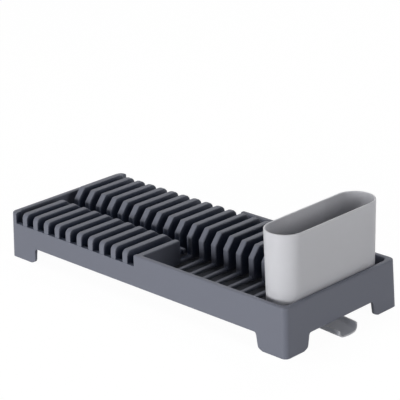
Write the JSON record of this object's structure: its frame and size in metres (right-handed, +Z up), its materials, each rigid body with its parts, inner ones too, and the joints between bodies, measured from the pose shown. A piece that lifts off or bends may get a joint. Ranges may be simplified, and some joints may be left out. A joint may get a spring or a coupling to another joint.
{
  "type": "dish drainer",
  "caption": "Countertop dish drainer: a long slotted rack for plates and mugs on four feet, with a drip tray, a swivel drain spout and a lift-out utensil cup.",
  "frame": {"origin": "middle of the whole footprint on the worktop, drawn-out spout included", "axes": "+X along the rack from the plate end to the utensil cup and spout end, +Y from the low front ribs to the high rear ribs, +Z up"},
  "size_m": [0.43, 0.1724, 0.122],
  "materials": {
    "rack_plastic": "fine satin, slate grey",
    "tray_plastic": "fine satin, slate grey",
    "spout_plastic": "smooth satin, slate grey",
    "pin_plastic": "smooth, dark grey",
    "cup_plastic": "soft gloss, light grey",
    "pad_rubber": "matt black"
  },
  "bodies": {
    "rack": {"rack_body": "rack_plastic", "drip_tray": "tray_plastic", "spout_pivot_pin": "pin_plastic", "foot_pad_1": "pad_rubber", "foot_pad_2": "pad_rubber", "foot_pad_3": "pad_rubber", "foot_pad_4": "pad_rubber"},
    "spout": {"drain_spout": "spout_plastic"},
    "cup": {"utensil_cup": "cup_plastic"}
  },
  "joints": [
    {"name": "spout_swivel", "type": "hinge", "parent": "rack", "child": "spout", "pos_m": [0.16299, -0.0018, 0.005], "axis": [0, 0, 1], "continuous": true},
    {"name": "utensil_cup_lift", "type": "slide", "parent": "rack", "child": "cup", "axis": [0, 0, 1], "range_m": [0, 0.16]}
  ]
}
